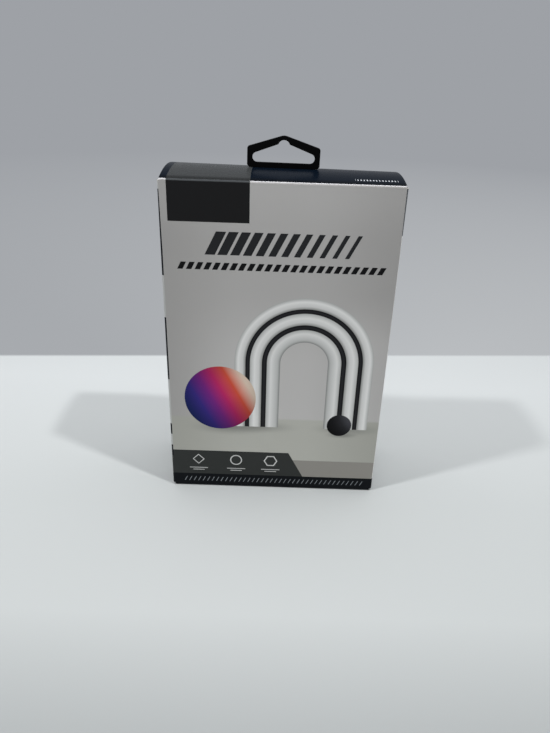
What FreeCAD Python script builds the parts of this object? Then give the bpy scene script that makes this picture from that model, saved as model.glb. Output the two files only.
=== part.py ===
import FreeCAD, Part
import Sketcher
import math
import os

# Hang tab carton, in millimetres. +Z is up, the printed front faces -Y, the origin is the centre of the base.
# The carton is one folded and glued sheet of paperboard; its lid opens on the top fold of the front panel.

doc = FreeCAD.newDocument("hang_tab_carton")
dims = doc.addObject("Spreadsheet::Sheet", "dims")

# Driving sizes. Formulas follow from the sizes above them.
SIZES = [
    ("width", "120"),
    ("depth", "50"),
    ("height", "180"),
    ("board", "0.6"),
    ("fold", "1.0"),
    ("crease_gap", "0.15"),
    ("lid_inset", "0.8"),
    ("crown", "2.75"),
    ("lid_lift", "0.3"),
    ("lid_drop", "1.8"),
    ("tuck_play", "0.3"),
    ("tuck_length", "15"),
    ("tuck_corner", "9"),
    ("lock_slit", "9"),
    ("lock_kerf", "0.4"),
    ("dust_step", "2.2"),
    ("dust_slope", "5"),
    ("dust_margin", "3"),
    ("dust_corner", "8"),
    ("dust_clear", "3"),
    ("glue_width", "12"),
    ("glue_end", "10"),
    ("bottom_inset", "1.5"),
    ("minor_reach", "34"),
    ("minor_corner", "14"),
    ("seam", "0.4"),
    ("seam_step", "6"),
    ("thumb_radius", "9"),
    ("tab_setback", "23.5"),
    ("tab_thickness", "1.2"),
    ("tab_width", "37"),
    ("tab_height", "15.55"),
    ("tab_shoulder", "10"),
    ("tab_chamfer", "1.1"),
    ("shoulder_round", "1.5"),
    ("tab_rounding", "0.25"),
    ("tab_seat", "0.12"),
    ("slot_width", "31.6"),
    ("slot_end", "2.4"),
    ("slot_sill", "2.55"),
    ("slot_slope", "18.5"),
    ("peg_radius", "3.0"),
    ("peg_cover", "2.1"),
    ("neck_width", "33"),
    ("neck_play", "0.3"),
    ("foot_width", "40"),
    ("foot_tip", "27"),
    ("foot_barb", "2.4"),
    ("foot_drop", "7"),
    ("foot_gap", "0.2"),
    ("overcut", "1"),
    ("half_width", "=width / 2"),
    ("half_depth", "=depth / 2"),
    ("fold_in", "=fold - board"),
    ("walls_low", "=fold + board"),
    ("dust_half", "=half_depth - dust_margin"),
    ("pivot_z", "=height - fold"),
    ("front_top", "=pivot_z - crease_gap"),
    ("side_top", "=front_top - dust_step"),
    ("tuck_radius", "=depth - board - tuck_play"),
    ("tuck_angle", "=tuck_length / tuck_radius * 180 / 3.14159265"),
    ("tuck_low", "=pivot_z - tuck_radius * sin(tuck_angle * 1deg)"),
    ("lid_half", "=half_width - lid_inset"),
    ("lid_lean", "=(sin(lid_lift * 1deg) - sin(lid_drop * 1deg)) / 2"),
    ("lid_wind", "=(sin(lid_lift * 1deg) + sin(lid_drop * 1deg)) / (2 * lid_half)"),
    ("tuck_back", "=tuck_radius * cos(tuck_angle * 1deg)"),
    ("tuck_mid", "=tuck_low + tuck_back * lid_lean"),
    ("tuck_skew", "=tuck_back * lid_wind * (lid_half - tuck_corner)"),
    ("slit_low", "=pivot_z - tuck_radius * sin(lid_drop * 1deg) - overcut"),
    ("slit_reach", "=fold + crown + 2 * tuck_radius * lid_wind * lid_half + 2 * overcut"),
    ("bow_mid", "=tuck_radius / 2 - half_depth"),
    ("bow_half", "=tuck_radius / 2 - fold"),
    ("bow_sink", "=(bow_half * bow_half - crown * crown) / (2 * crown)"),
    ("bow_radius", "=fold + bow_sink + crown"),
    ("bow_sin", "=bow_half / (bow_radius - fold)"),
    ("bow_cos", "=bow_sink / (bow_radius - fold)"),
    ("rear_y", "=tuck_radius - half_depth"),
    ("tab_y", "=half_depth - tab_setback"),
    ("tab_lean", "=tab_y - bow_mid"),
    ("tab_back", "=tab_y + half_depth"),
    ("tab_rest", "=sqrt(bow_radius * bow_radius - tab_lean * tab_lean) - bow_sink + tab_back * lid_lean"),
    ("tab_base", "=pivot_z + tab_rest + tab_seat"),
    ("tab_tilt", "=tab_back * lid_wind * 180 / 3.14159265"),
    ("foot_top", "=tab_base - tab_seat - board - foot_gap"),
    ("peg_z", "=tab_base + tab_height - peg_cover - peg_radius"),
    ("crest_radius", "=peg_radius + peg_cover"),
    ("end_x", "=slot_width / 2 - slot_end"),
    ("end_z", "=tab_base + slot_sill + slot_end"),
    ("dust_gap", "=foot_width / 2 + dust_clear"),
    ("dust_lean", "=sin(dust_slope * 1deg)"),
    ("dust_level", "=cos(dust_slope * 1deg)"),
    ("dust_reach", "=(half_width - fold - fold * dust_lean - dust_gap) / dust_level"),
]
for row, (alias, content) in enumerate(SIZES, start=1):
    dims.set(f"A{row}", alias)
    dims.set(f"B{row}", content)
    dims.setAlias(f"B{row}", alias)
doc.recompute()


def new_sketch(body, plane, name, offset=None):
    """Sketch on one of the body's origin planes, moved along the plane's normal by a driven offset."""
    sketch = body.newObject("Sketcher::SketchObject", name)
    base = [f for f in body.Origin.OriginFeatures if f.Role == plane][0]
    sketch.AttachmentSupport = [(base, "")]
    sketch.MapMode = "FlatFace"
    if offset:
        sketch.setExpression("AttachmentOffset.Base.z", offset)
    return sketch


def swing(sketch, angle, across, upward):
    """Turns a sketch in its plane by a driven angle about a driven point."""
    sketch.setExpression("AttachmentOffset.Rotation.Angle", angle)
    sketch.setExpression("AttachmentOffset.Base.x",
                         f"({across}) * (1 - cos({angle})) + ({upward}) * sin({angle})")
    sketch.setExpression("AttachmentOffset.Base.y",
                         f"({upward}) * (1 - cos({angle})) - ({across}) * sin({angle})")


def pin(sketch, geometry, end, axis, size):
    """Holds one end of a line or arc at a driven distance from the sketch origin."""
    value = float(sketch.evalExpression(size))
    index = sketch.addConstraint(Sketcher.Constraint("Distance" + axis, -1, 1, geometry, end, value))
    sketch.setExpression(f"Constraints[{index}]", size)


def outline(sketch, corners):
    """Closed outline through driven corners. A corner with a radius and a turn is reached by an arc."""
    points = []
    for corner in corners:
        across = float(sketch.evalExpression(corner[0]))
        upward = float(sketch.evalExpression(corner[1]))
        points.append(FreeCAD.Vector(across, upward, 0))
    ends = []
    for i, corner in enumerate(corners):
        start = points[i - 1]
        stop = points[i]
        if len(corner) == 2:
            ends.append((sketch.addGeometry(Part.LineSegment(start, stop)), 1, 2))
            continue
        radius = float(sketch.evalExpression(corner[2]))
        turn = corner[3]
        chord = stop - start
        rise = math.sqrt(max(radius ** 2 - chord.Length ** 2 / 4, 0.0))
        left = FreeCAD.Vector(-chord.y, chord.x, 0).normalize()
        centre = (start + stop) * 0.5 + left * (turn * rise)
        first, last = (start, stop) if turn > 0 else (stop, start)
        begin = math.atan2(first.y - centre.y, first.x - centre.x)
        finish = math.atan2(last.y - centre.y, last.x - centre.x)
        circle = Part.Circle(centre, FreeCAD.Vector(0, 0, 1), radius)
        arc = sketch.addGeometry(Part.ArcOfCircle(circle, begin, finish))
        ends.append((arc, 1, 2) if turn > 0 else (arc, 2, 1))
        index = sketch.addConstraint(Sketcher.Constraint("Radius", arc, radius))
        sketch.setExpression(f"Constraints[{index}]", corner[2])
    for i, corner in enumerate(corners):
        before = ends[i - 1]
        piece = ends[i]
        sketch.addConstraint(Sketcher.Constraint("Coincident", before[0], before[2], piece[0], piece[1]))
        pin(sketch, piece[0], piece[2], "X", corner[0])
        pin(sketch, piece[0], piece[2], "Y", corner[1])


def pad(body, sketch, name, length, both_ways=True):
    """Pad of a driven length, half to each side of the sketch or all along its normal."""
    feature = body.newObject("PartDesign::Pad", name)
    feature.Profile = sketch
    feature.SideType = "Symmetric" if both_ways else "One side"
    feature.setExpression("Length", length)
    sketch.Visibility = False
    doc.recompute()
    return feature


def pocket(body, sketch, name, length, reverse=False, both_ways=False):
    """Cut of a driven length on one side of the sketch, or half to each side."""
    feature = body.newObject("PartDesign::Pocket", name)
    feature.Profile = sketch
    feature.SideType = "Symmetric" if both_ways else "One side"
    feature.Reversed = reverse
    feature.setExpression("Length", length)
    sketch.Visibility = False
    doc.recompute()
    return feature


def edges_at(feature, test):
    """Names of the edges whose middle passes the test."""
    names = []
    for number, edge in enumerate(feature.Shape.Edges, start=1):
        middle = edge.valueAt((edge.FirstParameter + edge.LastParameter) / 2)
        if test(edge, middle):
            names.append(f"Edge{number}")
    return names


def dress(body, kind, feature, names, name, size):
    """Fillet or chamfer of a driven size on the named edges."""
    finish = body.newObject("PartDesign::" + kind, name)
    finish.Base = (feature, names)
    finish.setExpression("Radius" if kind == "Fillet" else "Size", size)
    doc.recompute()
    return finish


def size(alias):
    return float(dims.get(alias))


# Carton: the four panels are a tube with rounded vertical folds.
carton = doc.addObject("PartDesign::Body", "carton")
carton.Label = "carton"
carton.Placement = FreeCAD.Placement()

panels_sketch = new_sketch(carton, "XY_Plane", "panels_sketch", "dims.walls_low")
for wall, radius in (("0", "dims.fold"), ("dims.board", "dims.fold_in")):
    x_flat = "dims.half_width - dims.fold"
    y_flat = "dims.half_depth - dims.fold"
    x_face = f"dims.half_width - {wall}"
    y_face = f"dims.half_depth - {wall}"
    outline(panels_sketch, [
        (x_face, f"-({y_flat})", radius, 1),
        (x_face, y_flat),
        (x_flat, y_face, radius, 1),
        (f"-({x_flat})", y_face),
        (f"-({x_face})", y_flat, radius, 1),
        (f"-({x_face})", f"-({y_flat})"),
        (f"-({x_flat})", f"-({y_face})", radius, 1),
        (x_flat, f"-({y_face})"),
    ])
pad(carton, panels_sketch, "panels", "dims.front_top - dims.walls_low", both_ways=False)

# The side panels step down where the dust flaps fold in; the front and back panels end level.
dust_step_sketch = new_sketch(carton, "YZ_Plane", "dust_step_sketch")
outline(dust_step_sketch, [
    ("-dims.dust_half", "dims.side_top"),
    ("dims.dust_half", "dims.side_top"),
    ("dims.dust_half", "dims.front_top + dims.overcut"),
    ("-dims.dust_half", "dims.front_top + dims.overcut"),
])
pocket(carton, dust_step_sketch, "dust_steps", "dims.width + 2 * dims.overcut", both_ways=True)

# Half-round thumb notch in the back panel's top edge, to lift the tucked lid.
thumb_sketch = new_sketch(carton, "XZ_Plane", "thumb_sketch", "-dims.half_depth - dims.overcut")
outline(thumb_sketch, [
    ("dims.thumb_radius", "dims.front_top + dims.overcut"),
    ("-dims.thumb_radius", "dims.front_top + dims.overcut"),
    ("-dims.thumb_radius", "dims.front_top"),
    ("0", "dims.front_top - dims.thumb_radius", "dims.thumb_radius", 1),
    ("dims.thumb_radius", "dims.front_top", "dims.thumb_radius", 1),
])
pocket(carton, thumb_sketch, "thumb_notch", "dims.board + 2 * dims.overcut", reverse=True)

# Bottom: front and back flaps lie in one plane and hook into each other along a stepped seam.
bottom_sketch = new_sketch(carton, "YZ_Plane", "bottom_sketch")
outline(bottom_sketch, [
    ("-dims.half_depth", "dims.fold"),
    ("-dims.half_depth + dims.fold", "0", "dims.fold", 1),
    ("dims.half_depth - dims.fold", "0"),
    ("dims.half_depth", "dims.fold", "dims.fold", 1),
    ("dims.half_depth", "dims.walls_low"),
    ("dims.half_depth - dims.board", "dims.walls_low"),
    ("dims.half_depth - dims.board", "dims.fold"),
    ("dims.half_depth - dims.fold", "dims.board", "dims.fold_in", -1),
    ("-dims.half_depth + dims.fold", "dims.board"),
    ("-dims.half_depth + dims.board", "dims.fold", "dims.fold_in", -1),
    ("-dims.half_depth + dims.board", "dims.walls_low"),
    ("-dims.half_depth", "dims.walls_low"),
])
pad(carton, bottom_sketch, "bottom_flaps", "dims.width - 2 * dims.bottom_inset")

seam_sketch = new_sketch(carton, "XY_Plane", "seam_sketch")
outline(seam_sketch, [
    ("-dims.half_width", "dims.seam_step - dims.seam / 2"),
    ("-dims.seam_step", "dims.seam_step - dims.seam / 2"),
    ("dims.seam_step", "-dims.seam_step - dims.seam / 2"),
    ("dims.half_width", "-dims.seam_step - dims.seam / 2"),
    ("dims.half_width", "-dims.seam_step + dims.seam / 2"),
    ("dims.seam_step", "-dims.seam_step + dims.seam / 2"),
    ("-dims.seam_step", "dims.seam_step + dims.seam / 2"),
    ("-dims.half_width", "dims.seam_step + dims.seam / 2"),
])
pocket(carton, seam_sketch, "bottom_seam", "dims.board", reverse=True)

# The two side flaps of the bottom lie on the others, glued, with cut-off corners.
minor_fold_sketch = new_sketch(carton, "XZ_Plane", "minor_fold_sketch")
for side, turn in (("", 1), ("-", -1)):
    outline(minor_fold_sketch, [
        (f"{side}(dims.half_width)", "dims.walls_low", "dims.fold", turn),
        (f"{side}(dims.half_width - dims.board)", "dims.walls_low"),
        (f"{side}(dims.half_width - dims.fold)", "2 * dims.board", "dims.fold_in", -turn),
        (f"{side}(dims.half_width - dims.fold)", "dims.board"),
    ])
pad(carton, minor_fold_sketch, "minor_folds", "dims.depth - 2 * dims.bottom_inset")

minor_sketch = new_sketch(carton, "XY_Plane", "minor_sketch", "dims.board")
minor_y = "(dims.half_depth - dims.bottom_inset)"
for side in ("", "-"):
    outline(minor_sketch, [
        (f"{side}(dims.half_width - dims.fold)", f"-{minor_y}"),
        (f"{side}(dims.half_width - dims.fold)", minor_y),
        (f"{side}(dims.half_width - dims.minor_reach + dims.minor_corner)", minor_y),
        (f"{side}(dims.half_width - dims.minor_reach)", f"{minor_y} - dims.minor_corner"),
        (f"{side}(dims.half_width - dims.minor_reach)", f"-{minor_y} + dims.minor_corner"),
        (f"{side}(dims.half_width - dims.minor_reach + dims.minor_corner)", f"-{minor_y}"),
    ])
pad(carton, minor_sketch, "minor_flaps", "dims.board", both_ways=False)

# Dust flaps: hinged on the side panels a little lower than the lid, sloping down into the carton.
dust_sketch = new_sketch(carton, "XZ_Plane", "dust_sketch")
lean = "dims.dust_lean"
level = "dims.dust_level"
root = "(dims.half_width - dims.fold)"
for side, turn in (("", 1), ("-", -1)):
    outline(dust_sketch, [
        (f"{side}(dims.half_width)", "dims.side_top"),
        (f"{side}({root} - dims.fold * {lean})", f"dims.side_top + dims.fold * {level}", "dims.fold", turn),
        (f"{side}({root} - dims.fold * {lean} - dims.dust_reach * {level})",
         f"dims.side_top + dims.fold * {level} - dims.dust_reach * {lean}"),
        (f"{side}({root} - dims.fold_in * {lean} - dims.dust_reach * {level})",
         f"dims.side_top + dims.fold_in * {level} - dims.dust_reach * {lean}"),
        (f"{side}({root} - dims.fold_in * {lean})", f"dims.side_top + dims.fold_in * {level}"),
        (f"{side}(dims.half_width - dims.board)", "dims.side_top", "dims.fold_in", -turn),
    ])
dust = pad(carton, dust_sketch, "dust_flaps", "2 * dims.dust_half")
dust_end = size("dust_gap") + 2 * size("board")


def free_corner(edge, mid):
    near_end = abs(mid.x) < dust_end and mid.z > size("side_top") - 0.5 * size("half_width")
    return near_end and abs(edge.Length - size("board")) < 1e-4


front_corners = edges_at(dust, lambda edge, mid: free_corner(edge, mid) and mid.y < 0)
dust = dress(carton, "Chamfer", dust, front_corners, "dust_front_corners", "dims.dust_corner")
rear_corners = edges_at(dust, lambda edge, mid: free_corner(edge, mid) and mid.y > size("half_depth") / 2)
dress(carton, "Fillet", dust, rear_corners, "dust_rear_corners", "dims.dust_corner")

# Side seam: the flap of the left panel is glued inside the back panel.
glue_sketch = new_sketch(carton, "XZ_Plane", "glue_sketch", "-(dims.half_depth - dims.board)")
outline(glue_sketch, [
    ("-dims.half_width + dims.fold", "dims.walls_low + dims.glue_end"),
    ("-dims.half_width + dims.fold + dims.glue_width", "dims.walls_low + 2 * dims.glue_end"),
    ("-dims.half_width + dims.fold + dims.glue_width", "dims.pivot_z - 2 * dims.glue_end"),
    ("-dims.half_width + dims.fold", "dims.pivot_z - dims.glue_end"),
])
pad(carton, glue_sketch, "glue_flap", "dims.board", both_ways=False)

# Lid: front crease, bowed panel, rear crease and tuck flap in one profile at each end.
# The board is wound: the left end stands a little open, the right end is pushed down past level.
# The tuck flap follows a circle about the front crease, so it swings out past the back panel.
lid = doc.addObject("PartDesign::Body", "lid")
lid.Label = "lid"
lid.Placement = FreeCAD.Placement()

crease_y = "-dims.half_depth + dims.fold"
rear_y = "dims.rear_y - dims.fold"
lid_profile = [
    ("-dims.half_depth + dims.board", "dims.pivot_z", "dims.fold_in", 1),
    ("-dims.half_depth", "dims.pivot_z"),
    (f"{crease_y} - dims.fold * dims.bow_sin", "dims.pivot_z + dims.fold * dims.bow_cos", "dims.fold", -1),
    (f"{rear_y} + dims.fold * dims.bow_sin", "dims.pivot_z + dims.fold * dims.bow_cos",
     "dims.bow_radius", -1),
    ("dims.rear_y", "dims.pivot_z", "dims.fold", -1),
    ("-dims.half_depth + dims.tuck_back", "dims.tuck_low", "dims.tuck_radius", -1),
    ("-dims.half_depth + (dims.tuck_radius - dims.board) * cos(dims.tuck_angle * 1deg)",
     "dims.pivot_z - (dims.tuck_radius - dims.board) * sin(dims.tuck_angle * 1deg)"),
    ("dims.rear_y - dims.board", "dims.pivot_z", "dims.tuck_radius - dims.board", 1),
    (f"{rear_y} + dims.fold_in * dims.bow_sin", "dims.pivot_z + dims.fold_in * dims.bow_cos",
     "dims.fold_in", 1),
    (f"{crease_y} - dims.fold_in * dims.bow_sin", "dims.pivot_z + dims.fold_in * dims.bow_cos",
     "dims.bow_radius - dims.board", 1),
]
lid_left = new_sketch(lid, "YZ_Plane", "lid_left", "-dims.lid_half")
outline(lid_left, lid_profile)
swing(lid_left, "dims.lid_lift * 1deg", "-dims.half_depth", "dims.pivot_z")
lid_right = new_sketch(lid, "YZ_Plane", "lid_right", "dims.lid_half")
outline(lid_right, lid_profile)
swing(lid_right, "-dims.lid_drop * 1deg", "-dims.half_depth", "dims.pivot_z")
lid_panel = lid.newObject("PartDesign::AdditiveLoft", "lid_panel")
lid_panel.Profile = lid_left
lid_panel.Sections = [lid_right]
lid_panel.Ruled = True
lid_left.Visibility = False
lid_right.Visibility = False
doc.recompute()

corner_sketch = new_sketch(lid, "XZ_Plane", "corner_sketch")
for side, turn, low in (("", -1, "dims.tuck_mid - dims.tuck_skew"), ("-", 1, "dims.tuck_mid + dims.tuck_skew")):
    outline(corner_sketch, [
        (f"{side}(dims.lid_half + dims.overcut)", f"{low} - dims.overcut"),
        (f"{side}(dims.lid_half + dims.overcut)", f"{low} + dims.tuck_corner"),
        (f"{side}dims.lid_half", f"{low} + dims.tuck_corner"),
        (f"{side}(dims.lid_half - dims.tuck_corner)", low, "dims.tuck_corner", turn),
        (f"{side}(dims.lid_half - dims.tuck_corner)", f"{low} - dims.overcut"),
    ])
pocket(lid, corner_sketch, "tuck_corners", "dims.depth")

# Short lock slits part the tuck flap from the panel at both ends of the rear crease.
lock_sketch = new_sketch(lid, "XY_Plane", "lock_sketch", "dims.slit_low")
for side in ("", "-"):
    outline(lock_sketch, [
        (f"{side}(dims.lid_half - dims.lock_slit)", f"{rear_y} - dims.lock_kerf / 2"),
        (f"{side}(dims.lid_half + dims.overcut)", f"{rear_y} - dims.lock_kerf / 2"),
        (f"{side}(dims.lid_half + dims.overcut)", f"{rear_y} + dims.lock_kerf / 2"),
        (f"{side}(dims.lid_half - dims.lock_slit)", f"{rear_y} + dims.lock_kerf / 2"),
    ])
pocket(lid, lock_sketch, "lock_slits", "dims.slit_reach", reverse=True)

slit_sketch = new_sketch(lid, "XY_Plane", "slit_sketch", "dims.slit_low")
slit_x = "(dims.neck_width / 2 + dims.neck_play)"
slit_y = "(dims.tab_thickness / 2 + dims.neck_play / 2)"
outline(slit_sketch, [
    (f"-{slit_x}", f"dims.tab_y - {slit_y}"),
    (slit_x, f"dims.tab_y - {slit_y}"),
    (slit_x, f"dims.tab_y + {slit_y}"),
    (f"-{slit_x}", f"dims.tab_y + {slit_y}"),
])
pocket(lid, slit_sketch, "hang_tab_slit", "dims.slit_reach", reverse=True)

# Hang tab: flat plastic loop on the lid, a neck through the slit and a barbed foot under the lid.
hang_tab = doc.addObject("PartDesign::Body", "hang_tab")
hang_tab.Label = "hang_tab"
hang_tab.Placement = FreeCAD.Placement()

tab_sketch = new_sketch(hang_tab, "XZ_Plane", "tab_sketch", "-dims.tab_y")
crest_x = "dims.crest_radius * sin(dims.slot_slope * 1deg)"
crest_z = "dims.peg_z + dims.crest_radius * cos(dims.slot_slope * 1deg)"
right_side = [
    ("dims.foot_tip / 2", "dims.tab_base - dims.foot_drop"),
    ("dims.foot_width / 2", "dims.foot_top - dims.foot_barb"),
    ("dims.foot_width / 2", "dims.foot_top"),
    ("dims.neck_width / 2", "dims.foot_top"),
    ("dims.neck_width / 2", "dims.tab_base"),
    ("dims.tab_width / 2 - dims.tab_chamfer", "dims.tab_base"),
    ("dims.tab_width / 2", "dims.tab_base + dims.tab_chamfer"),
    ("dims.tab_width / 2", "dims.tab_base + dims.tab_shoulder"),
    (crest_x, crest_z),
]
left_side = [(f"-({x})", z) for x, z in reversed(right_side)]
left_side[0] = left_side[0] + ("dims.crest_radius", 1)
outline(tab_sketch, right_side + left_side)

# Peg slot: flat sill, round ends, sloping shoulders and a round seat for the peg in the middle.
peg_x = "0.95 * dims.peg_radius"
peg_side = "dims.peg_z + sqrt(1 - 0.95 * 0.95) * dims.peg_radius"
end_top_x = "(dims.end_x + dims.slot_end * sin(dims.slot_slope * 1deg))"
end_top_z = "dims.end_z + dims.slot_end * cos(dims.slot_slope * 1deg)"
outline(tab_sketch, [
    ("dims.end_x", "dims.end_z - dims.slot_end"),
    ("dims.end_x + dims.slot_end", "dims.end_z", "dims.slot_end", 1),
    (end_top_x, end_top_z, "dims.slot_end", 1),
    (peg_x, peg_side),
    ("0", "dims.peg_z + dims.peg_radius", "dims.peg_radius", 1),
    (f"-({peg_x})", peg_side, "dims.peg_radius", 1),
    (f"-{end_top_x}", end_top_z),
    ("-dims.end_x - dims.slot_end", "dims.end_z", "dims.slot_end", 1),
    ("-dims.end_x", "dims.end_z - dims.slot_end", "dims.slot_end", 1),
])
swing(tab_sketch, "-dims.tab_tilt * 1deg", "0", "dims.tab_base")
tab_plate = pad(hang_tab, tab_sketch, "tab_plate", "dims.tab_thickness")
tilt = math.radians(size("tab_tilt"))


def along_tab(mid):
    """Place of a point in the leaning tab: across from its middle, up from its foot on the lid."""
    up = mid.z - size("tab_base")
    return mid.x * math.cos(tilt) - up * math.sin(tilt), mid.x * math.sin(tilt) + up * math.cos(tilt)


def on_shoulder(edge, mid):
    across, up = along_tab(mid)
    return abs(abs(across) - size("tab_width") / 2) < 1e-3 and abs(up - size("tab_shoulder")) < 1e-3


def round_face(edge, mid):
    on_face = abs(abs(mid.y - size("tab_y")) - size("tab_thickness") / 2) < 1e-4
    return on_face and along_tab(mid)[1] > 0.01


tab_plate = dress(hang_tab, "Fillet", tab_plate, edges_at(tab_plate, on_shoulder), "tab_shoulders",
                  "dims.shoulder_round")
dress(hang_tab, "Fillet", tab_plate, edges_at(tab_plate, round_face), "tab_edges", "dims.tab_rounding")

doc.recompute()
for item in doc.Objects:
    if "Invalid" in item.State or "Error" in item.State:
        raise RuntimeError(f"{item.Name} did not recompute: {item.State}")
os.makedirs("parts", exist_ok=True)
for body in (carton, lid, hang_tab):
    if body.Shape.isNull() or not body.Shape.isValid() or len(body.Shape.Solids) != 1:
        raise RuntimeError(f"{body.Label} is not one valid solid")
    body.Shape.exportStep(f"parts/{body.Label}.step")
    print(body.Label, round(body.Shape.Volume, 1), body.Shape.BoundBox)
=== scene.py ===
import math

import bpy
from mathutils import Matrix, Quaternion, Vector


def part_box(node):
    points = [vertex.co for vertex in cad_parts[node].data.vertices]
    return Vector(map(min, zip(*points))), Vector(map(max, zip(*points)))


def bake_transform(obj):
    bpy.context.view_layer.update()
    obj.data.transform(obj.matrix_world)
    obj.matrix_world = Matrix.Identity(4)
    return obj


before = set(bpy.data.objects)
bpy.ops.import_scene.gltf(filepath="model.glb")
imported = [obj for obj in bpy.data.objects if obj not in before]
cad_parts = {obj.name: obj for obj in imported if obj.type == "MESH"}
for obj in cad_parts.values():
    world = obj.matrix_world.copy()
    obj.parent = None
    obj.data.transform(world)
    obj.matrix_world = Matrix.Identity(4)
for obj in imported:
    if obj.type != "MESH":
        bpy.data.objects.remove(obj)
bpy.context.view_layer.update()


# The carton: one sheet of folding boxboard, printed on its outside, creased and folded into a tube.
# The board is white clay-coated pulp, about 0.6 mm thick, with a bare grey-white inside.
# Its front carries the main print, which is laid down under a clear satin varnish.

MM = 0.001
half_width, half_depth, carton_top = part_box("carton")[1] / MM


def linear(hex_colour):
    """An sRGB hex colour as linear red, green, blue and alpha."""
    shares = [int(hex_colour[i : i + 2], 16) / 255 for i in (1, 3, 5)]
    return [s / 12.92 if s <= 0.04045 else ((s + 0.055) / 1.055) ** 2.4 for s in shares] + [1.0]


def add(tree, kind, inputs=(), stops=(), **settings):
    """Adds one shader node with its settings, colour ramp stops and inputs, and returns its outputs.

    Inputs are a list in the node's own order, or a dict by name or number. Each is a link, a hex colour
    or a plain value.
    """
    made = tree.nodes.new("ShaderNode" + kind)
    for name, value in settings.items():
        setattr(made, name, value)
    ramp = made.color_ramp.elements if stops else ()
    while len(ramp) < len(stops):
        ramp.new(0.5)
    for stop, (share, hex_colour) in zip(ramp, stops):
        stop.position = share
        stop.color = linear(hex_colour)
    for key, value in inputs.items() if isinstance(inputs, dict) else enumerate(inputs):
        if isinstance(value, bpy.types.NodeSocket):
            tree.links.new(value, made.inputs[key])
        else:
            made.inputs[key].default_value = linear(value) if isinstance(value, str) else value
    return made.outputs


def new_material(name):
    """A new material, its node tree, and the Principled shader in it."""
    material = bpy.data.materials.new(name)
    material.use_nodes = True
    return material, material.node_tree, material.node_tree.nodes["Principled BSDF"]


def surface(tree):
    """The place on a piece in millimetres, and the way that its surface faces there."""
    coordinates = add(tree, "TexCoord")
    place = add(tree, "VectorMath", {0: coordinates["Object"], "Scale": 1 / MM}, operation="SCALE")[0]
    return place, coordinates["Normal"]


# Varnished boxboard: offset ink under a satin dispersion varnish. The eye sees even fields of ink,
# a soft sheen that breaks up over faint fibres, and white pulp where the sheet is cut or its folds crack.
varnished_boxboard, board, board_shader = new_material("varnished_boxboard")
place, facing = surface(board)
x, y, z = add(board, "SeparateXYZ", [place])
facing_x, _, facing_z = add(board, "SeparateXYZ", [facing])
from_middle = add(board, "Math", [x], operation="ABSOLUTE")[0]

# Inks are laid one over another by Mix nodes. A colour Mix has these inputs, and this output.
SHARE, UNDER, OVER, MIXED = 0, 6, 7, 2

# The front's ground is a pale studio grey, lightest in its lower middle and dimmer towards both edges.
# It lightens once more low on the right, above the table.
# Each glow: what it runs along, where it starts and ends, and its strength there.
# Near its top the ground is painted lighter: painted light where the panel bends up into its fold.
middle_glow, low_glow, painted_top_light, right_glow, right_low_glow = (
    add(board, "MapRange", [along, *span], interpolation_type="SMOOTHSTEP")[0]
    for along, *span in (
        (from_middle, 65.0, 14.0, 0.0, 1.0),
        (z, 130.0, 80.0, 0.5, 1.0),
        (z, 150.0, carton_top, 0.0, 0.25),
        (x, 25.0, 45.0, 0.0, 0.6),
        (z, 128.0, 92.0, 0.0, 1.0),
    )
)
glow = add(board, "Math", [middle_glow, low_glow, painted_top_light], operation="MULTIPLY_ADD")[0]
glow = add(board, "Math", [right_glow, right_low_glow, glow], operation="MULTIPLY_ADD")[0]
ground = add(board, "Mix", {SHARE: glow, UNDER: "#B1AFAD", OVER: "#CECCCA"}, data_type="RGBA")[MIXED]
table_top, table_blur = 48.5, 0.7
on_table = add(board, "MapRange", [z, table_top + table_blur, table_top - table_blur])[0]
table = add(board, "Mix", {SHARE: middle_glow, UNDER: "#B3B3AB", OVER: "#C3C3BB"}, data_type="RGBA")[MIXED]
ink = add(board, "Mix", {SHARE: on_table, UNDER: ground, OVER: table}, data_type="RGBA")[MIXED]

# The front's picture is a plain still life: a banded arch and two graded balls that stand on the table.
front_place = add(board, "CombineXYZ", [x, z])[0]
arch_middle, arch_spring, arch_foot = 15.0, 84.0, 43.0
arch_inner, arch_outer = 13.0, 38.0
ball_middle, ball_height, ball_radius = -31.0, 61.0, 20.0
small_ball_middle, small_ball_height, small_ball_radius = 37.0, 45.5, 7.0

# Soft shadows on the table, as ellipses: middle across, middle up, half width, half height, strength.
for middle, height, wide, high, strength in (
    (arch_middle - 24, arch_foot, 26, 5, 0.45),
    (arch_middle + 27, arch_foot, 24, 5, 0.45),
    (ball_middle + 6, ball_height - ball_radius + 1, 27, 6, 0.55),
    (small_ball_middle + 2, small_ball_height - small_ball_radius + 0.5, 11, 2.6, 0.6),
):
    away = add(board, "VectorMath", [front_place, (middle, height, 0.0)], operation="SUBTRACT")[0]
    scaled = add(board, "VectorMath", [away, (wide, high, 1.0)], operation="DIVIDE")[0]
    reach = add(board, "VectorMath", [scaled], operation="LENGTH")["Value"]
    shade = add(board, "MapRange", [reach, 1.0, 0.0, 0.0, strength], interpolation_type="SMOOTHSTEP")[0]
    ink = add(board, "Mix", {SHARE: shade, UNDER: ink, OVER: "#6E6F6C"}, data_type="RGBA")[MIXED]

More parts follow.
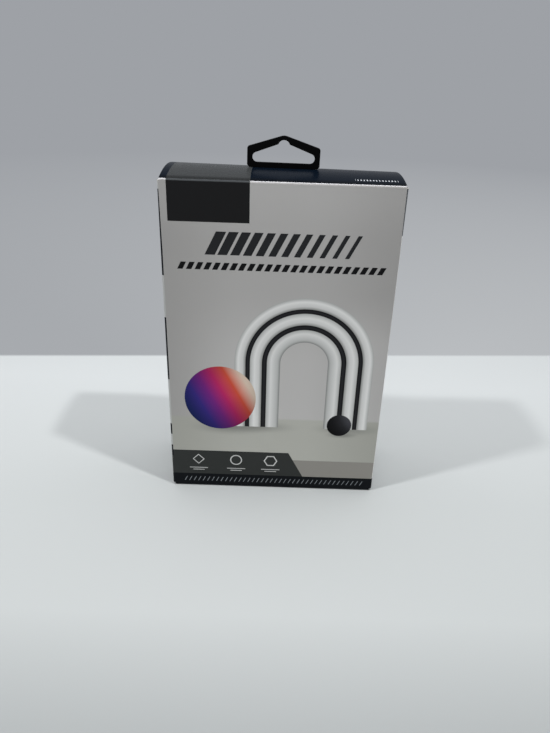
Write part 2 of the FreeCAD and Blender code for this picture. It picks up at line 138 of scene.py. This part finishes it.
# The arch: round above its springing line and straight below, in white, black and grey bands.
# Its height is cut off at that line, so that below it only the distance across counts.
arch_away = add(board, "VectorMath", [front_place, (arch_middle, arch_spring, 0.0)], operation="SUBTRACT")[0]
no_cut_across = -2 * half_width
arch_rise = add(board, "VectorMath", [arch_away, (no_cut_across, 0.0, 0.0)], operation="MAXIMUM")[0]
arch_reach = add(board, "VectorMath", [arch_rise], operation="LENGTH")["Value"]
arch_share = add(board, "MapRange", [arch_reach, arch_inner, arch_outer], clamp=False)[0]
arch_bands = (
    (0.00, "#8E8F8D"),
    (0.05, "#C9CAC8"),
    (0.20, "#F1F1EF"),
    (0.29, "#BFC0BE"),
    (0.291, "#141416"),
    (0.345, "#2B2B2E"),
    (0.40, "#0E0E10"),
    (0.401, "#9C9D9B"),
    (0.47, "#E4E4E2"),
    (0.56, "#F6F6F4"),
    (0.66, "#C4C5C3"),
    (0.661, "#141416"),
    (0.71, "#2B2B2E"),
    (0.76, "#0E0E10"),
    (0.761, "#979896"),
    (0.82, "#DFDFDD"),
    (0.92, "#F7F7F5"),
    (1.00, "#B9BAB8"),
)
arch_ink = add(board, "ValToRGB", [arch_share], stops=arch_bands)[0]
in_ring = add(board, "Math", [arch_share, 0.5, 0.5], operation="COMPARE")[0]
above_foot = add(board, "Math", [z, arch_foot], operation="GREATER_THAN")[0]
in_arch = add(board, "Math", [in_ring, above_foot], operation="MULTIPLY")[0]
ink = add(board, "Mix", {SHARE: in_arch, UNDER: ink, OVER: arch_ink}, data_type="RGBA")[MIXED]

# The balls: each is shaded from a light spot near its top, and the large one runs through six inks.
ball_inks = ("#2A3A8C", "#4A3BA6", "#8A2F96", "#CB2E6E", "#DE5A43", "#EFD9C6")
small_ball_inks = ("#0E0E10", "#1B1B1E", "#2A2A2E", "#4A4A50")
grading_runs = (1.0, 0.55, 0.0)
for middle, height, radius, inks in (
    (ball_middle, ball_height, ball_radius, ball_inks),
    (small_ball_middle, small_ball_height, small_ball_radius, small_ball_inks),
):
    away = add(board, "VectorMath", [front_place, (middle, height, 0.0)], operation="SUBTRACT")[0]
    slant = add(board, "VectorMath", [away, grading_runs], operation="DOT_PRODUCT")["Value"]
    share = add(board, "MapRange", [slant, -1.05 * radius, radius])[0]
    ball_stops = [(count / (len(inks) - 1), hex_colour) for count, hex_colour in enumerate(inks)]
    graded = add(board, "ValToRGB", [share], stops=ball_stops)[0]
    light_spot = (0.35 * radius, 0.4 * radius, 0.0)
    from_spot = add(board, "VectorMath", [away, light_spot], operation="DISTANCE")["Value"]
    dusk = add(board, "MapRange", [from_spot, 0.3 * radius, 1.55 * radius, 1.0, 0.35])[0]
    dimmed = {SHARE: 1.0, UNDER: graded, OVER: dusk}
    ball_ink = add(board, "Mix", dimmed, data_type="RGBA", blend_type="MULTIPLY")[MIXED]
    reach = add(board, "VectorMath", [away], operation="LENGTH")["Value"]
    in_ball = add(board, "Math", [reach, radius], operation="LESS_THAN")[0]
    ink = add(board, "Mix", {SHARE: in_ball, UNDER: ink, OVER: ball_ink}, data_type="RGBA")[MIXED]


def in_field(tree, across, up, left, right, low, high):
    """1 inside a rectangle on the sheet, and 0 outside it."""
    in_width = add(tree, "Math", [across, (left + right) / 2, (right - left) / 2], operation="COMPARE")[0]
    in_height = add(tree, "Math", [up, (low + high) / 2, (high - low) / 2], operation="COMPARE")[0]
    return add(tree, "Math", [in_width, in_height], operation="MULTIPLY")[0]


# Flat fields of ink on the front: colour, left, right, low, high, and how far each leans for its height.
# A field that runs over a fold goes on past the side, the top or the bottom of the front.
charcoal, fold_highlight_grey, taupe, slate, night = "#1F1F20", "#4B4E50", "#9B9892", "#373938", "#090D12"
past_side, past_top, past_bottom = 80.0, 190.0, -1.0
block_left, block_right, block_low, block_fold = -55.75, -15.6, 159.85, 179.2
strip_height, taupe_top, band_top, band_end, band_lean = 8.75, 20.4, 25.4, 22.5, -0.541
for hex_colour, left, right, low, high, lean in (
    (charcoal, block_left, block_right, block_low, past_top, 0.0),
    # The block's top edge on the fold is a lighter grey: a painted highlight on the rounded fold.
    (fold_highlight_grey, block_left, block_right, block_fold, past_top, 0.0),
    (taupe, 0.0, past_side, strip_height, taupe_top, 0.0),
    (slate, -past_side, band_end, strip_height, band_top, band_lean),
    (night, -past_side, past_side, past_bottom, strip_height, 0.0),
):
    along = add(board, "Math", [z, -lean, x], operation="MULTIPLY_ADD")[0]
    inside = in_field(board, along, z, left, right, low, high)
    ink = add(board, "Mix", {SHARE: inside, UNDER: ink, OVER: hex_colour}, data_type="RGBA")[MIXED]

# Rows of slanting strokes: colour, left, right, low, high, pitch, and the inked share at each end.
stroke_lean = 0.5
for hex_colour, left, right, low, high, pitch, first, last in (
    ("#2B2C2E", -38.0, 38.8, 143.6, 155.4, 6.4, 0.84, 0.30),
    ("#141416", -52.0, 53.6, 135.8, 139.6, 4.4, 0.62, 0.62),
    ("#90959A", -53.0, 55.0, 3.5, 6.5, 2.7, 0.16, 0.16),
):
    rise = add(board, "Math", [z, low], operation="SUBTRACT")[0]
    along = add(board, "Math", [rise, -stroke_lean, x], operation="MULTIPLY_ADD")[0]
    turns = add(board, "MapRange", [along, left, left + pitch], clamp=False)[0]
    phase = add(board, "Math", [turns], operation="FRACT")[0]
    inked = add(board, "MapRange", [along, left, right, first, last])[0]
    in_stroke = add(board, "Math", [phase, inked], operation="LESS_THAN")[0]
    in_row = in_field(board, along, z, left, right, low, high)
    in_stroke = add(board, "Math", [in_stroke, in_row], operation="MULTIPLY")[0]
    ink = add(board, "Mix", {SHARE: in_stroke, UNDER: ink, OVER: hex_colour}, data_type="RGBA")[MIXED]

# Three plain outlines in the band, each over two short bars: a diamond, a ring and a hexagon.
# Each: its middle, half the width of its long bar, and the directions that its sides face, none for the ring.
sign_height, sign_radius, half_line = 19.3, 3.2, 0.34
long_bar_low, short_bar_low, bar_height, bar_step = 12.9, 11.5, 0.5, 2.0
for middle, half_bar, sides in (
    (-44.2, 5.4, [(1.0, 1.0, 0.0)]),
    (-22.0, 5.4, []),
    (-1.6, 5.5, [(0.866, 0.5, 0.0), (0.0, 1.0, 0.0)]),
):
    away = add(board, "VectorMath", [front_place, (middle, sign_height, 0.0)], operation="SUBTRACT")[0]
    quarter = add(board, "VectorMath", [away], operation="ABSOLUTE")[0]
    reach = 0.0 if sides else add(board, "VectorMath", [away], operation="LENGTH")["Value"]
    for side in sides:
        side_reach = add(board, "VectorMath", [quarter, side], operation="DOT_PRODUCT")["Value"]
        reach = add(board, "Math", [side_reach, reach], operation="MAXIMUM")[0]
    on_line = add(board, "Math", [reach, sign_radius, half_line], operation="COMPARE")[0]
    ink = add(board, "Mix", {SHARE: on_line, UNDER: ink, OVER: "#D5D6D4"}, data_type="RGBA")[MIXED]
    for half, low in ((half_bar, long_bar_low), (half_bar - bar_step, short_bar_low)):
        on_bar = in_field(board, x, z, middle - half, middle + half, low, low + bar_height)
        ink = add(board, "Mix", {SHARE: on_bar, UNDER: ink, OVER: "#C9CAC8"}, data_type="RGBA")[MIXED]

# The sides and the back are plain: pale ground, white on the right, a few flat panels,
# and the strip that runs round them all.
# The back's raw edge shows as a thin white line beside the left fold, where the seam flap is glued under it.
# Each panel: ink, low, high, and how far it reaches from one edge to the other of its side.
pale, white, navy, grey = "#C4C5C3", "#E9E9E7", "#0A0E18", "#5E6164"
raw_edge, seam_shade = "#D6D3CB", "#1A1B1D"
strip = (night, past_bottom, strip_height, -past_side, past_side)
left_panels = (
    (navy, 132, 175, -30, 18),
    (navy, 72, 109, -30, 18),
    (navy, 36.2, 43.3, -30, -8),
    (slate, strip_height, band_top, -30, -14),
    (navy, 21.3, 28.8, -30, -14),
)
right_panels = ((grey, 156, past_top, -30, 30),)
back_panels = (
    (navy, 150, past_top, -past_side, past_side),
    (grey, 96, 138, -46, 46),
    (grey, 24, 84, 8, 46),
    (raw_edge, 0, past_top, -59.0, -58.5),
    (seam_shade, 0, past_top, -59.25, -59.0),
)

# Blocks of plain bars stand where small print would: ink, low, high, where each bar starts,
# and where the shortest and the longest stop. A bar's length is drawn by chance from its row's number.
bar_pitch, bar_share, rows_apart = 4.2, 0.3, 10.0
left_blocks = ((pale, 141, 166, 14, -2, -16), (pale, 78, 103, 14, -2, -16))
right_blocks = ((slate, 113, 142, -17, 4, 17), (slate, 71, 100, -17, 4, 17), (slate, 23, 42, -17, 0, 14))
back_blocks = (
    (pale, 101, 133, 41, -10, -41),
    (pale, 30, 79, 42, 24, 12),
    (slate, 52, 84, -2, -28, -46),
    (slate, 25, 44, -2, -24, -44),
)

# Each side's ink starts at its fold, a little nearer to it at the top or at the bottom.
leftward = add(board, "Math", [x, -1.0], operation="MULTIPLY")[0]
start_low, start_high = 145.0, 178.0
for side_place, low_start, high_start, across, side_ink, panels, blocks in (
    (leftward, half_width - 1.05, half_width - 0.6, y, pale, left_panels, left_blocks),
    (x, half_width - 0.4, half_width - 0.85, y, white, right_panels, right_blocks),
    (y, half_depth - 0.3, half_depth - 0.3, x, pale, back_panels, back_blocks),
):
    for hex_colour, low, high, first, last in (strip, *panels):
        in_panel = in_field(board, across, z, first, last, low, high)
        laid = {SHARE: in_panel, UNDER: side_ink, OVER: hex_colour}
        side_ink = add(board, "Mix", laid, data_type="RGBA")[MIXED]
    for count, (hex_colour, low, high, start, shortest, longest) in enumerate(blocks):
        rows = (count * rows_apart, count * rows_apart + 1)
        turns = add(board, "MapRange", [z, high, high - bar_pitch, *rows], clamp=False)[0]
        phase = add(board, "Math", [turns], operation="FRACT")[0]
        row = add(board, "Math", [turns], operation="FLOOR")[0]
        chance = add(board, "TexWhiteNoise", {"W": row}, noise_dimensions="1D")["Value"]
        stop = add(board, "MapRange", [chance, 0.0, 1.0, shortest, longest])[0]
        along = add(board, "MapRange", [across, start, stop], clamp=False)[0]
        on_bar = in_field(board, along, phase, 0.0, 1.0, 0.0, bar_share)
        in_block = add(board, "Math", [z, (low + high) / 2, (high - low) / 2], operation="COMPARE")[0]
        on_bar = add(board, "Math", [on_bar, in_block], operation="MULTIPLY")[0]
        laid = {SHARE: on_bar, UNDER: side_ink, OVER: hex_colour}
        side_ink = add(board, "Mix", laid, data_type="RGBA")[MIXED]
    side_start = add(board, "MapRange", [z, start_low, start_high, low_start, high_start])[0]
    on_side = add(board, "Math", [side_place, side_start], operation="GREATER_THAN")[0]
    ink = add(board, "Mix", {SHARE: on_side, UNDER: ink, OVER: side_ink}, data_type="RGBA")[MIXED]

# White pulp shows in fine cracks along the folds, where the ink and the varnish break.
crack_size, crack_strength = 1.1, 0.35
crack_starts, crack_full = half_width - 0.9, half_width - 0.25
crack_noise = {"Vector": place, "Scale": 1 / crack_size, "Detail": 4.0, "Roughness": 0.7}
cracks = add(board, "TexNoise", crack_noise)[0]
cracked = add(board, "MapRange", [cracks, 0.58, 0.70, 0.0, crack_strength])[0]
near_fold = add(board, "MapRange", [from_middle, crack_starts, crack_full])[0]
sidewise = add(board, "Math", [facing_x], operation="ABSOLUTE")[0]
rounded = add(board, "MapRange", [sidewise, 0.98, 0.9])[0]
worn = add(board, "Math", [near_fold, cracked], operation="MULTIPLY")[0]
worn = add(board, "Math", [worn, rounded], operation="MULTIPLY")[0]
ink = add(board, "Mix", {SHARE: worn, UNDER: ink, OVER: "#DCDBD6"}, data_type="RGBA")[MIXED]

# The print covers the walls' outer faces and the underside. The inside and the cut edges are bare pulp.
wall_reach, underside_height = 5.0, 1.2
level_place = add(board, "VectorMath", [place, (1.0, 1.0, 0.0)], operation="MULTIPLY")[0]
outward = add(board, "VectorMath", [facing, level_place], operation="DOT_PRODUCT")["Value"]
outer_wall = add(board, "Math", [outward, wall_reach], operation="GREATER_THAN")[0]
faces_down = add(board, "Math", [facing_z, -0.5], operation="LESS_THAN")[0]
low_down = add(board, "Math", [z, underside_height], operation="LESS_THAN")[0]
underside = add(board, "Math", [faces_down, low_down], operation="MULTIPLY")[0]
printed = add(board, "Math", [outer_wall, underside], operation="MAXIMUM")[0]

# Fibres lie along the sheet, in the pulp and faintly under the ink. A real one is about 0.03 mm wide,
# which is too fine to show, so it is drawn ten times as wide.
fibre_width, fibre_length, fibre_height = 0.3, 2.4, 0.03
mottle_size, pulp_rough = 1.6, 0.85
noise_span = (0.3, 0.7)


def print_on_pulp(tree, shader, place, printed, ink, fibre_size, varnish_rough):
    """Colours the sheet: varnished ink where it is printed, bare pulp elsewhere. Returns its fibres.

    Varnish lies glossier than pulp, and goes between two roughnesses from one spot to the next.
    """
    fibre_place = add(tree, "VectorMath", [place, fibre_size], operation="DIVIDE")[0]
    fibres = add(tree, "TexNoise", {"Vector": fibre_place, "Scale": 1.0, "Detail": 3.0})[0]
    pulp = add(tree, "Mix", {SHARE: fibres, UNDER: "#B9B5AB", OVER: "#D6D3CB"}, data_type="RGBA")[MIXED]
    colour = add(tree, "Mix", {SHARE: printed, UNDER: pulp, OVER: ink}, data_type="RGBA")[MIXED]
    tree.links.new(colour, shader.inputs["Base Color"])
    mottle = add(tree, "TexNoise", {"Vector": place, "Scale": 1 / mottle_size, "Detail": 3.0})[0]
    ink_rough = add(tree, "MapRange", [mottle, *noise_span, *varnish_rough])[0]
    rough = add(tree, "MapRange", [printed, 0.0, 1.0, pulp_rough, ink_rough])[0]
    tree.links.new(rough, shader.inputs["Roughness"])
    shader.inputs["IOR"].default_value = 1.5
    return fibres


fibre_size = (fibre_width, fibre_width, fibre_length)
fibres = print_on_pulp(board, board_shader, place, printed, ink, fibre_size, (0.34, 0.42))
board_shader.inputs["Specular IOR Level"].default_value = 0.1

# A large panel of board is never quite flat.
wave_size, wave_height = 38.0, 0.25
waves = add(board, "TexNoise", {"Vector": place, "Scale": 1 / wave_size, "Detail": 1.0})[0]
bent = add(board, "Bump", {"Height": waves, "Strength": 1.0, "Distance": wave_height * MM})[0]
fibre_relief = {"Height": fibres, "Strength": 0.25, "Distance": fibre_height * MM, "Normal": bent}
board.links.new(add(board, "Bump", fibre_relief)[0], board_shader.inputs["Normal"])


def dress(node, material):
    """Gives a CAD node its finished material in place of the plain one."""
    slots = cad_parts[node].data.materials
    slots.clear()
    slots.append(material)


dress("carton", varnished_boxboard)


# The lid: the sheet's top flap, hinged on the crease above the front and pushed into a shallow bow.
# It is the same boxboard, printed dark on top, with a tuck flap that slides down inside the back.
# The grey block of the front runs on over its left part.

# Solid-inked boxboard: the same sheet under a full coat of dark ink and a closer varnish. The eye sees
# a near-black navy that mirrors the room as a broad soft sheen, and bare pulp at the ends and underneath.
solid_inked_boxboard, lid_tree, lid_shader = new_material("solid_inked_boxboard")
place, facing = surface(lid_tree)
x, y, _ = add(lid_tree, "SeparateXYZ", [place])
lid_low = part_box("lid")[0] / MM
block_middle, half_block = (block_left + block_right) / 2, (block_right - block_left) / 2
in_block = add(lid_tree, "Math", [x, block_middle, half_block], operation="COMPARE")[0]
ink = add(lid_tree, "Mix", {SHARE: in_block, UNDER: "#08111C", OVER: "#3D3F40"}, data_type="RGBA")[MIXED]

# Painted shade darkens the pressed line behind the crease; the front's pale ground ends on top of the crease.
fold_radius = 1.0
print_ends = lid_low.y + 0.72 * fold_radius
shade_starts, shade_ends, shade_depth = print_ends + 1.8, print_ends + 4.6, 0.45
painted_crease_shade = add(lid_tree, "MapRange", [y, shade_starts, shade_ends, shade_depth, 1.0])[0]
dimmed = {SHARE: 1.0, UNDER: ink, OVER: painted_crease_shade}
ink = add(lid_tree, "Mix", dimmed, data_type="RGBA", blend_type="MULTIPLY")[MIXED]
# On the crease the pale ground and the grey block are lighter copies: a painted highlight on the fold.
on_front = add(lid_tree, "Math", [y, print_ends], operation="LESS_THAN")[0]
fold_highlight_inks = {SHARE: in_block, UNDER: "#D1D1D4", OVER: fold_highlight_grey}
fold_highlight_ink = add(lid_tree, "Mix", fold_highlight_inks, data_type="RGBA")[MIXED]
ink = add(lid_tree, "Mix", {SHARE: on_front, UNDER: ink, OVER: fold_highlight_ink}, data_type="RGBA")[MIXED]

# A short row of white ticks near the lid's front right corner.
tick_left, tick_right, tick_front, tick_back = 34.9, 55.8, -19.4, -17.6
tick_pitch, tick_share = 1.5, 0.4
turns = add(lid_tree, "Math", [x, tick_pitch], operation="DIVIDE")[0]
phase = add(lid_tree, "Math", [turns], operation="FRACT")[0]
in_tick = add(lid_tree, "Math", [phase, tick_share], operation="LESS_THAN")[0]
in_row = in_field(lid_tree, x, y, tick_left, tick_right, tick_front, tick_back)
in_tick = add(lid_tree, "Math", [in_tick, in_row], operation="MULTIPLY")[0]
ink = add(lid_tree, "Mix", {SHARE: in_tick, UNDER: ink, OVER: "#BFC3C8"}, data_type="RGBA")[MIXED]

# The print covers what faces up and outwards. The underside and the cut ends are bare.
cover_reach, end_facing = 1.0, 0.7
from_under = add(lid_tree, "VectorMath", [place, (0.0, 0.0, lid_low.z)], operation="SUBTRACT")[0]
outward = add(lid_tree, "VectorMath", [facing, from_under], operation="DOT_PRODUCT")["Value"]
outside = add(lid_tree, "Math", [outward, cover_reach], operation="GREATER_THAN")[0]
sidewise = add(lid_tree, "Math", [add(lid_tree, "SeparateXYZ", [facing])["X"]], operation="ABSOLUTE")[0]
not_end = add(lid_tree, "Math", [sidewise, end_facing], operation="LESS_THAN")[0]
printed = add(lid_tree, "Math", [outside, not_end], operation="MULTIPLY")[0]

fibre_size = (fibre_width, fibre_length, fibre_width)
fibres = print_on_pulp(lid_tree, lid_shader, place, printed, ink, fibre_size, (0.24, 0.30))
lid_shader.inputs["Specular IOR Level"].default_value = 0.022
fibre_relief = {"Height": fibres, "Strength": 0.12, "Distance": fibre_height * MM}
lid_tree.links.new(add(lid_tree, "Bump", fibre_relief)[0], lid_shader.inputs["Normal"])
dress("lid", solid_inked_boxboard)


# The crease: the thin line of board between the front and the lid, pressed soft so that it bends.
# It is part of the same sheet.

crease_bottom, crease_lift, crease_thickness = 178.3, 0.015, 0.5
half_crease = half_width - 1.1 * fold_radius
axis_height, half_bend = 179.0, 0.25
arc_middle, arc_turn, arc_steps = -half_depth + fold_radius, math.radians(40), 8
outer = [(-half_depth - crease_lift, crease_bottom)]
inner = [(-half_depth + crease_thickness, crease_bottom)]
for step in range(arc_steps + 1):
    turn = arc_turn * step / arc_steps
    for points, radius in ((outer, fold_radius + crease_lift), (inner, fold_radius - crease_thickness)):
        points.append((arc_middle - radius * math.cos(turn), axis_height + radius * math.sin(turn)))
section = outer + inner[::-1]
corners = [(side * half_crease * MM, y_at * MM, z_at * MM) for side in (-1, 1) for y_at, z_at in section]
count = len(section)
faces = [(i, (i + 1) % count, count + (i + 1) % count, count + i) for i in range(count)]
faces += [tuple(range(count))[::-1], tuple(range(count, 2 * count))]
crease_mesh = bpy.data.meshes.new("crease")
crease_mesh.from_pydata(corners, [], faces)
crease_mesh.update()
crease_mesh.materials.append(varnished_boxboard)
crease = bpy.data.objects.new("crease", crease_mesh)
bpy.context.scene.collection.objects.link(crease)
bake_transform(crease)


# The hang tab: a flat black loop of polypropylene that a shop peg goes through.
# It is moulded in one piece, and its barbed foot is pushed through the slit in the lid.

# Moulded polypropylene: dyed through, from a lightly spark-eroded mould. The eye sees near black with a soft,
# broken sheen. The mould's real grain, about 0.05 mm, is too fine to show and is drawn at 0.35 mm.
moulded_polypropylene, tab_tree, tab_shader = new_material("moulded_polypropylene")
place, _ = surface(tab_tree)
grain_size, grain_height, cloud_size = 0.35, 0.04, 7.0
grain = add(tab_tree, "TexNoise", {"Vector": place, "Scale": 1 / grain_size, "Detail": 2.0})[0]
cloud = add(tab_tree, "TexNoise", {"Vector": place, "Scale": 1 / cloud_size, "Detail": 2.0})[0]
black = add(tab_tree, "Mix", {SHARE: cloud, UNDER: "#030304", OVER: "#060607"}, data_type="RGBA")[MIXED]
tab_tree.links.new(black, tab_shader.inputs["Base Color"])
rough = add(tab_tree, "MapRange", [cloud, *noise_span, 0.40, 0.50])[0]
tab_tree.links.new(rough, tab_shader.inputs["Roughness"])
tab_shader.inputs["IOR"].default_value = 1.49
tab_shader.inputs["Specular IOR Level"].default_value = 0.06
grain_relief = {"Height": grain, "Strength": 0.3, "Distance": grain_height * MM}
tab_tree.links.new(add(tab_tree, "Bump", grain_relief)[0], tab_shader.inputs["Normal"])
dress("hang_tab", moulded_polypropylene)


# The floor: one wide pale sheet of laminate that the carton stands on.
# Behind the carton it changes, along one straight line, to the even grey of the backdrop.
# The backdrop is only seen, straight or in a reflection, and lights nothing.

# Matt laminate: melamine pressed against a dull plate. The eye sees an even, pale sheet that takes soft
# shadows and mirrors nothing, with painted shade towards its front and painted light at the back.
matt_laminate, floor_tree, floor_shader = new_material("matt_laminate")
place, _ = surface(floor_tree)
x, y, _ = add(floor_tree, "SeparateXYZ", [place])
tones_start, tones_end = 110.0, -220.0
# Painted light and shade: the floor runs from light behind the carton to darker towards the camera.
floor_painted_light_and_shade = ((0.0, "#DDE1E2"), (0.45, "#CDD1D1"), (0.7, "#C9CDCD"), (1.0, "#989C9D"))
nearness = add(floor_tree, "MapRange", [y, tones_start, tones_end])[0]
floor_colour = add(floor_tree, "ValToRGB", [nearness], stops=floor_painted_light_and_shade)[0]
floor_tree.links.new(floor_colour, floor_shader.inputs["Base Color"])
floor_shader.inputs["Roughness"].default_value = 0.7

# The backdrop is painted light: it glows in place of a lit grey wall, where it is seen.
# The backdrop is lighter to the right, fades with distance, and far off it takes up the whole floor.
backdrop_starts, backdrop_blur, backdrop_ends, backdrop_turn = 160.2, 2.0, 1500.0, 0.075
all_starts, all_ends, widest_bearing = 420.0, 900.0, 0.7
backdrop_left, backdrop_right, backdrop_far = "#A8ABAF", "#BBBEC1", "#9EA1A6"
back = add(floor_tree, "Math", [x, -backdrop_turn, y], operation="MULTIPLY_ADD")[0]
line = (backdrop_starts - backdrop_blur, backdrop_starts + backdrop_blur)
behind = add(floor_tree, "MapRange", [back, *line])[0]
away = add(floor_tree, "VectorMath", [place], operation="LENGTH")["Value"]
far_off = add(floor_tree, "MapRange", [away, all_starts, all_ends], interpolation_type="SMOOTHSTEP")[0]
behind = add(floor_tree, "Math", [behind, far_off], operation="MAXIMUM")[0]
bearing = add(floor_tree, "Math", [x, away], operation="DIVIDE")[0]
rightness = add(floor_tree, "MapRange", [bearing, -widest_bearing, widest_bearing])[0]
near_greys = {SHARE: rightness, UNDER: backdrop_left, OVER: backdrop_right}
backdrop_near = add(floor_tree, "Mix", near_greys, data_type="RGBA")[MIXED]
distance = add(floor_tree, "MapRange", [away, backdrop_starts, backdrop_ends])[0]
all_greys = {SHARE: distance, UNDER: backdrop_near, OVER: backdrop_far}
backdrop = add(floor_tree, "Mix", all_greys, data_type="RGBA")[MIXED]


def seen(tree):
    """1 where a surface is seen, straight, in a reflection or through glass, and 0 where it gives light."""
    ray = add(tree, "LightPath")
    straight = add(tree, "Math", [ray["Is Camera Ray"], ray["Is Glossy Ray"]], operation="MAXIMUM")[0]
    return add(tree, "Math", [straight, ray["Is Transmission Ray"]], operation="MAXIMUM")[0]


glowing = add(floor_tree, "Math", [behind, seen(floor_tree)], operation="MULTIPLY")[0]
backdrop_glow = add(floor_tree, "Emission", {"Color": backdrop, "Strength": 1.0})[0]
floor_look = add(floor_tree, "MixShader", [glowing, floor_shader.outputs[0], backdrop_glow])[0]
floor_tree.links.new(floor_look, floor_tree.nodes["Material Output"].inputs["Surface"])
half_floor = 6.0
corner_signs = ((-1, -1), (1, -1), (1, 1), (-1, 1))
floor_corners = [(across * half_floor, along * half_floor, 0) for across, along in corner_signs]
floor_mesh = bpy.data.meshes.new("floor")
floor_mesh.from_pydata(floor_corners, [], [(0, 1, 2, 3)])
floor_mesh.materials.append(matt_laminate)
floor = bpy.data.objects.new("floor", floor_mesh)
bpy.context.scene.collection.objects.link(floor)


# The light: a wide soft box overhead, a small lamp to each side, a weak fill in front, and an even grey room.
# The two small lamps give the carton its pair of soft shadows, one to each side.

world = bpy.data.worlds.new("room")
bpy.context.scene.world = world
world.use_nodes = True
room = world.node_tree
room_light = add(room, "Background", {"Color": "#E6E9ED", "Strength": 0.30})[0]
room_seen = add(room, "Background", {"Color": backdrop_far, "Strength": 1.0})[0]
room_look = add(room, "MixShader", [seen(room), room_light, room_seen])[0]
room.links.new(room_look, room.nodes["World Output"].inputs["Surface"])
lit_point = Vector((0, 0, 0.08))
for name, spot, size, watts in (
    ("overhead", (0.0, 0.14, 1.0), (1.0, 0.5), 3.45),
    ("left_box", (-0.424, -0.232, 0.846), (0.05, 0.05), 2.75),
    ("right_box", (0.513, -0.344, 1.297), (0.06, 0.06), 6.25),
    ("front_fill", (0.0, -1.0, 0.35), (1.0, 0.6), 0.95),
):
    lamp = bpy.data.lights.new(name, "AREA")
    lamp.shape = "RECTANGLE"
    lamp.size, lamp.size_y = size
    lamp.energy = watts
    holder = bpy.data.objects.new(name, lamp)
    holder.location = spot
    holder.rotation_euler = (lit_point - Vector(spot)).to_track_quat("-Z", "Y").to_euler()
    bpy.context.scene.collection.objects.link(holder)
bpy.context.scene.view_settings.view_transform = "Standard"


# The camera: a wide lens, a third of a metre in front of the carton and a little above its top.
# It looks down by 27 degrees and is tipped sideways by two.

frame_height_px, focal_px = 733, 604
camera_data = bpy.data.cameras.new("camera")
camera_data.sensor_width = 36.0
camera_data.lens = focal_px / frame_height_px * camera_data.sensor_width
camera = bpy.data.objects.new("camera", camera_data)
camera.location = (-0.0012, -0.3201, 0.2302)
yaw, pitch, roll = math.radians(0.078), math.radians(26.646), math.radians(1.921)
looks_along = Vector((math.sin(yaw) * math.cos(pitch), math.cos(yaw) * math.cos(pitch), -math.sin(pitch)))
camera.rotation_mode = "QUATERNION"
camera.rotation_quaternion = looks_along.to_track_quat("-Z", "Y") @ Quaternion((0, 0, 1), roll)
bpy.context.scene.collection.objects.link(camera)
bpy.context.scene.camera = camera
